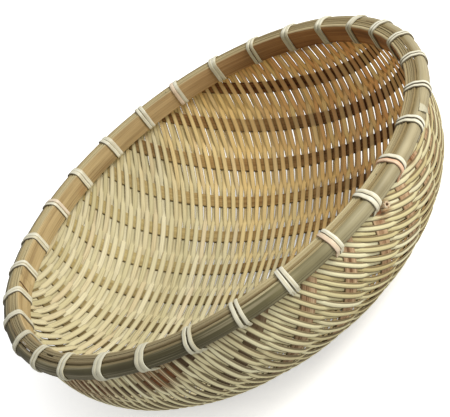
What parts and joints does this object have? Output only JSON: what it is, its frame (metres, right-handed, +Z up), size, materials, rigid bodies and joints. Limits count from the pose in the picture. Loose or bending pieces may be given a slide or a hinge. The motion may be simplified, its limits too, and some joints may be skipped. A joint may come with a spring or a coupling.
{
  "type": "woven basket",
  "caption": "Round woven bowl basket: flat ribs crossed by narrow weavers in a plain weave, clamped in a hooped rim that a rattan strand binds at even steps.",
  "frame": {"origin": "centre of the floor, on the surface that the basket stands on", "axes": "+Z up out of the mouth, ribs along Y, weavers along X"},
  "size_m": [0.3, 0.2994, 0.097],
  "materials": {
    "hoop_skin": "smooth bamboo skin, satin",
    "hoop_inner": "planed bamboo, satin",
    "splint": "split bamboo, matte",
    "rattan": "peeled rattan skin, satin",
    "rib": "split bamboo, matte",
    "weaver": "split bamboo, satin"
  },
  "bodies": {
    "root": {"outer_hoop": "hoop_skin", "inner_hoop": "hoop_inner", "capping_splint_1": "splint", "capping_splint_2": "splint", "binding_strand": "rattan", "rib_01": "rib", "rib_02": "rib", "rib_03": "rib", "rib_04": "rib", "rib_05": "rib", "rib_06": "rib", "rib_07": "rib", "rib_08": "rib", "rib_09": "rib", "rib_10": "rib", "rib_11": "rib", "rib_12": "rib", "rib_13": "rib", "weaver_01": "weaver", "weaver_02": "weaver", "weaver_03": "weaver", "weaver_04": "weaver", "weaver_05": "weaver", "weaver_06": "weaver", "weaver_07": "weaver", "weaver_08": "weaver", "weaver_09": "weaver", "weaver_10": "weaver", "weaver_11": "weaver", "weaver_12": "weaver", "weaver_13": "weaver", "weaver_14": "weaver", "weaver_15": "weaver", "weaver_16": "weaver", "weaver_17": "weaver", "weaver_18": "weaver", "weaver_19": "weaver", "weaver_20": "weaver", "weaver_21": "weaver", "weaver_22": "weaver", "weaver_23": "weaver", "weaver_24": "weaver", "weaver_25": "weaver"}
  },
  "joints": []
}
